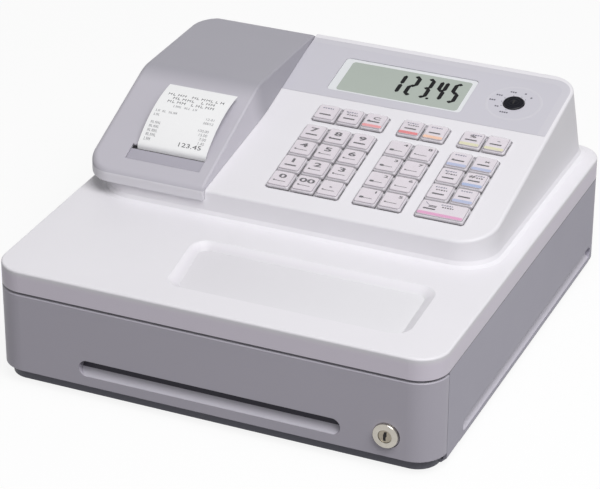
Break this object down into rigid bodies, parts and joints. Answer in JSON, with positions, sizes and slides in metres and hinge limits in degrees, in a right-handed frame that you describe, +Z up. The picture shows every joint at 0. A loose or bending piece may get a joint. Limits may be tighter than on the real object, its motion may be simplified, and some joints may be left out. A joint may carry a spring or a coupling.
{
  "type": "ticket register",
  "caption": "Compact counter cash register: sloping keyboard and display on a white case over a cash drawer, with a receipt printer under a hinged cover.",
  "frame": {"origin": "on the counter, under the middle of the register", "axes": "+X to the operator's right, -Y towards the operator, +Z up"},
  "size_m": [0.326, 0.349, 0.1492],
  "materials": {
    "case_white": "satin moulded plastic",
    "housing_grey": "fine moulded texture",
    "drawer_grey": "fine moulded texture",
    "panel_lavender": "printed overlay",
    "display_glass": "display glass over grey-green",
    "switch_black": "satin black",
    "mat_rubber": "matt",
    "board": "coated board",
    "cover_grey": "fine moulded texture",
    "paper": "thermal paper",
    "frame_plastic": "moulded",
    "roller_rubber": "ground rubber",
    "gear_plastic": "acetal",
    "head_aluminium": "satin",
    "lock_chrome": "polished",
    "lock_steel": "brushed",
    "tray_black": "moulded",
    "coin_grey": "moulded",
    "clip_plastic": "moulded",
    "latch_steel": "zinc plated",
    "foot_rubber": "matt",
    "screw_steel": "zinc plated",
    "bush_rubber": "matt",
    "key_clear": "clear cap over a printed label"
  },
  "bodies": {
    "case": {"drawer_housing": "housing_grey", "top_case": "case_white", "display_panel": "panel_lavender", "lcd_module": "display_glass", "key_mat": "mat_rubber", "main_board": "board", "printer_frame": "frame_plastic", "print_head": "head_aluminium", "rubber_feet": "foot_rubber", "case_screws": "screw_steel", "cord_bush": "bush_rubber"},
    "drawer": {"drawer_front": "drawer_grey", "drawer_tray": "tray_black", "coin_tray": "coin_grey", "lock_barrel": "lock_chrome"},
    "cover": {"printer_cover": "cover_grey", "receipt_paper": "paper"},
    "lock": {"lock_plug": "lock_steel"},
    "mode": {"mode_rotor": "switch_black"},
    "platen": {"platen_roller": "roller_rubber"},
    "feed": {"feed_gear": "gear_plastic"},
    "roll": {"paper_roll": "paper"},
    "clip_1": {"bill_clip_1": "clip_plastic"},
    "clip_2": {"bill_clip_2": "clip_plastic"},
    "clip_3": {"bill_clip_3": "clip_plastic"},
    "latch": {"drawer_latch": "latch_steel"},
    "key_0_cap": {"key_0": "key_clear"},
    "key_00_cap": {"key_00": "key_clear"},
    "key_point_cap": {"key_point": "key_clear"},
    "key_1_cap": {"key_1": "key_clear"},
    "key_2_cap": {"key_2": "key_clear"},
    "key_3_cap": {"key_3": "key_clear"},
    "key_4_cap": {"key_4": "key_clear"},
    "key_5_cap": {"key_5": "key_clear"},
    "key_6_cap": {"key_6": "key_clear"},
    "key_7_cap": {"key_7": "key_clear"},
    "key_8_cap": {"key_8": "key_clear"},
    "key_9_cap": {"key_9": "key_clear"},
    "key_department_1_cap": {"key_department_1": "key_clear"},
    "key_department_2_cap": {"key_department_2": "key_clear"},
    "key_department_3_cap": {"key_department_3": "key_clear"},
    "key_department_4_cap": {"key_department_4": "key_clear"},
    "key_department_5_cap": {"key_department_5": "key_clear"},
    "key_department_6_cap": {"key_department_6": "key_clear"},
    "key_department_7_cap": {"key_department_7": "key_clear"},
    "key_department_8_cap": {"key_department_8": "key_clear"},
    "key_total_cap": {"key_total": "key_clear"},
    "key_paid_out_cap": {"key_paid_out": "key_clear"},
    "key_subtotal_cap": {"key_subtotal": "key_clear"},
    "key_charge_cap": {"key_charge": "key_clear"},
    "key_check_cap": {"key_check": "key_clear"},
    "key_tax_cap": {"key_tax": "key_clear"},
    "key_quantity_cap": {"key_quantity": "key_clear"},
    "key_feed_cap": {"key_feed": "key_clear"},
    "key_receipt_cap": {"key_receipt": "key_clear"},
    "key_clear_cap": {"key_clear": "key_clear"},
    "key_refund_cap": {"key_refund": "key_clear"},
    "key_void_cap": {"key_void": "key_clear"},
    "key_percent_cap": {"key_percent": "key_clear"},
    "key_minus_cap": {"key_minus": "key_clear"}
  },
  "joints": [
    {"name": "drawer_slide", "type": "slide", "parent": "case", "child": "drawer", "axis": [0, -1, 0], "range_m": [0, 0.23]},
    {"name": "cover_hinge", "type": "hinge", "parent": "case", "child": "cover", "pos_m": [0, 0.149, 0.141], "axis": [-1, 0, 0], "range_deg": [0, 62]},
    {"name": "lock_turn", "type": "hinge", "parent": "drawer", "child": "lock", "pos_m": [0.1279, -0.172, 0.0279], "axis": [0, -1, 0], "range_deg": [0, 90]},
    {"name": "mode_turn", "type": "hinge", "parent": "case", "child": "mode", "pos_m": [0.1093, 0.11543, 0.13999], "axis": [0, -0.1994, 0.9799], "range_deg": [-90, 90]},
    {"name": "platen_spin", "type": "hinge", "parent": "case", "child": "platen", "pos_m": [0, -0.013, 0.101], "axis": [1, 0, 0], "continuous": true},
    {"name": "feed_spin", "type": "hinge", "parent": "case", "child": "feed", "pos_m": [0, 0.00602, 0.09482], "axis": [1, 0, 0], "continuous": true},
    {"name": "roll_spin", "type": "hinge", "parent": "case", "child": "roll", "pos_m": [0, 0.092, 0.104], "axis": [1, 0, 0], "continuous": true},
    {"name": "clip_1_hinge", "type": "hinge", "parent": "drawer", "child": "clip_1", "pos_m": [-0.1007, 0.138, 0.0613], "axis": [-1, 0, 0], "range_deg": [0, 28]},
    {"name": "clip_2_hinge", "type": "hinge", "parent": "drawer", "child": "clip_2", "pos_m": [0, 0.138, 0.0613], "axis": [-1, 0, 0], "range_deg": [0, 28]},
    {"name": "clip_3_hinge", "type": "hinge", "parent": "drawer", "child": "clip_3", "pos_m": [0.1007, 0.138, 0.0613], "axis": [-1, 0, 0], "range_deg": [0, 28]},
    {"name": "latch_hinge", "type": "hinge", "parent": "case", "child": "latch", "pos_m": [0.04, 0.165, 0.0333], "axis": [-1, 0, 0], "range_deg": [0, 12]},
    {"name": "key_0_press", "type": "slide", "parent": "case", "child": "key_0_cap", "axis": [0, 0.1994, -0.9799], "range_m": [0, 0.002], "stiffness_N_per_m": 200, "springref_m": -0.002},
    {"name": "key_00_press", "type": "slide", "parent": "case", "child": "key_00_cap", "axis": [0, 0.1994, -0.9799], "range_m": [0, 0.002], "stiffness_N_per_m": 200, "springref_m": -0.002},
    {"name": "key_point_press", "type": "slide", "parent": "case", "child": "key_point_cap", "axis": [0, 0.1994, -0.9799], "range_m": [0, 0.002], "stiffness_N_per_m": 200, "springref_m": -0.002},
    {"name": "key_1_press", "type": "slide", "parent": "case", "child": "key_1_cap", "axis": [0, 0.1994, -0.9799], "range_m": [0, 0.002], "stiffness_N_per_m": 200, "springref_m": -0.002},
    {"name": "key_2_press", "type": "slide", "parent": "case", "child": "key_2_cap", "axis": [0, 0.1994, -0.9799], "range_m": [0, 0.002], "stiffness_N_per_m": 200, "springref_m": -0.002},
    {"name": "key_3_press", "type": "slide", "parent": "case", "child": "key_3_cap", "axis": [0, 0.1994, -0.9799], "range_m": [0, 0.002], "stiffness_N_per_m": 200, "springref_m": -0.002},
    {"name": "key_4_press", "type": "slide", "parent": "case", "child": "key_4_cap", "axis": [0, 0.1994, -0.9799], "range_m": [0, 0.002], "stiffness_N_per_m": 200, "springref_m": -0.002},
    {"name": "key_5_press", "type": "slide", "parent": "case", "child": "key_5_cap", "axis": [0, 0.1994, -0.9799], "range_m": [0, 0.002], "stiffness_N_per_m": 200, "springref_m": -0.002},
    {"name": "key_6_press", "type": "slide", "parent": "case", "child": "key_6_cap", "axis": [0, 0.1994, -0.9799], "range_m": [0, 0.002], "stiffness_N_per_m": 200, "springref_m": -0.002},
    {"name": "key_7_press", "type": "slide", "parent": "case", "child": "key_7_cap", "axis": [0, 0.1994, -0.9799], "range_m": [0, 0.002], "stiffness_N_per_m": 200, "springref_m": -0.002},
    {"name": "key_8_press", "type": "slide", "parent": "case", "child": "key_8_cap", "axis": [0, 0.1994, -0.9799], "range_m": [0, 0.002], "stiffness_N_per_m": 200, "springref_m": -0.002},
    {"name": "key_9_press", "type": "slide", "parent": "case", "child": "key_9_cap", "axis": [0, 0.1994, -0.9799], "range_m": [0, 0.002], "stiffness_N_per_m": 200, "springref_m": -0.002},
    {"name": "key_department_1_press", "type": "slide", "parent": "case", "child": "key_department_1_cap", "axis": [0, 0.1994, -0.9799], "range_m": [0, 0.002], "stiffness_N_per_m": 200, "springref_m": -0.002},
    {"name": "key_department_2_press", "type": "slide", "parent": "case", "child": "key_department_2_cap", "axis": [0, 0.1994, -0.9799], "range_m": [0, 0.002], "stiffness_N_per_m": 200, "springref_m": -0.002},
    {"name": "key_department_3_press", "type": "slide", "parent": "case", "child": "key_department_3_cap", "axis": [0, 0.1994, -0.9799], "range_m": [0, 0.002], "stiffness_N_per_m": 200, "springref_m": -0.002},
    {"name": "key_department_4_press", "type": "slide", "parent": "case", "child": "key_department_4_cap", "axis": [0, 0.1994, -0.9799], "range_m": [0, 0.002], "stiffness_N_per_m": 200, "springref_m": -0.002},
    {"name": "key_department_5_press", "type": "slide", "parent": "case", "child": "key_department_5_cap", "axis": [0, 0.1994, -0.9799], "range_m": [0, 0.002], "stiffness_N_per_m": 200, "springref_m": -0.002},
    {"name": "key_department_6_press", "type": "slide", "parent": "case", "child": "key_department_6_cap", "axis": [0, 0.1994, -0.9799], "range_m": [0, 0.002], "stiffness_N_per_m": 200, "springref_m": -0.002},
    {"name": "key_department_7_press", "type": "slide", "parent": "case", "child": "key_department_7_cap", "axis": [0, 0.1994, -0.9799], "range_m": [0, 0.002], "stiffness_N_per_m": 200, "springref_m": -0.002},
    {"name": "key_department_8_press", "type": "slide", "parent": "case", "child": "key_department_8_cap", "axis": [0, 0.1994, -0.9799], "range_m": [0, 0.002], "stiffness_N_per_m": 200, "springref_m": -0.002},
    {"name": "key_total_press", "type": "slide", "parent": "case", "child": "key_total_cap", "axis": [0, 0.1994, -0.9799], "range_m": [0, 0.002], "stiffness_N_per_m": 200, "springref_m": -0.002},
    {"name": "key_paid_out_press", "type": "slide", "parent": "case", "child": "key_paid_out_cap", "axis": [0, 0.1994, -0.9799], "range_m": [0, 0.002], "stiffness_N_per_m": 200, "springref_m": -0.002},
    {"name": "key_subtotal_press", "type": "slide", "parent": "case", "child": "key_subtotal_cap", "axis": [0, 0.1994, -0.9799], "range_m": [0, 0.002], "stiffness_N_per_m": 200, "springref_m": -0.002},
    {"name": "key_charge_press", "type": "slide", "parent": "case", "child": "key_charge_cap", "axis": [0, 0.1994, -0.9799], "range_m": [0, 0.002], "stiffness_N_per_m": 200, "springref_m": -0.002},
    {"name": "key_check_press", "type": "slide", "parent": "case", "child": "key_check_cap", "axis": [0, 0.1994, -0.9799], "range_m": [0, 0.002], "stiffness_N_per_m": 200, "springref_m": -0.002},
    {"name": "key_tax_press", "type": "slide", "parent": "case", "child": "key_tax_cap", "axis": [0, 0.1994, -0.9799], "range_m": [0, 0.002], "stiffness_N_per_m": 200, "springref_m": -0.002},
    {"name": "key_quantity_press", "type": "slide", "parent": "case", "child": "key_quantity_cap", "axis": [0, 0.1994, -0.9799], "range_m": [0, 0.002], "stiffness_N_per_m": 200, "springref_m": -0.002},
    {"name": "key_feed_press", "type": "slide", "parent": "case", "child": "key_feed_cap", "axis": [0, 0.1994, -0.9799], "range_m": [0, 0.002], "stiffness_N_per_m": 200, "springref_m": -0.002},
    {"name": "key_receipt_press", "type": "slide", "parent": "case", "child": "key_receipt_cap", "axis": [0, 0.1994, -0.9799], "range_m": [0, 0.002], "stiffness_N_per_m": 200, "springref_m": -0.002},
    {"name": "key_clear_press", "type": "slide", "parent": "case", "child": "key_clear_cap", "axis": [0, 0.1994, -0.9799], "range_m": [0, 0.002], "stiffness_N_per_m": 200, "springref_m": -0.002},
    {"name": "key_refund_press", "type": "slide", "parent": "case", "child": "key_refund_cap", "axis": [0, 0.1994, -0.9799], "range_m": [0, 0.002], "stiffness_N_per_m": 200, "springref_m": -0.002},
    {"name": "key_void_press", "type": "slide", "parent": "case", "child": "key_void_cap", "axis": [0, 0.1994, -0.9799], "range_m": [0, 0.002], "stiffness_N_per_m": 200, "springref_m": -0.002},
    {"name": "key_percent_press", "type": "slide", "parent": "case", "child": "key_percent_cap", "axis": [0, 0.1994, -0.9799], "range_m": [0, 0.002], "stiffness_N_per_m": 200, "springref_m": -0.002},
    {"name": "key_minus_press", "type": "slide", "parent": "case", "child": "key_minus_cap", "axis": [0, 0.1994, -0.9799], "range_m": [0, 0.002], "stiffness_N_per_m": 200, "springref_m": -0.002}
  ],
  "couplings": [
    {"joint": "feed_spin", "follows": "platen_spin", "ratio": -0.66667}
  ]
}
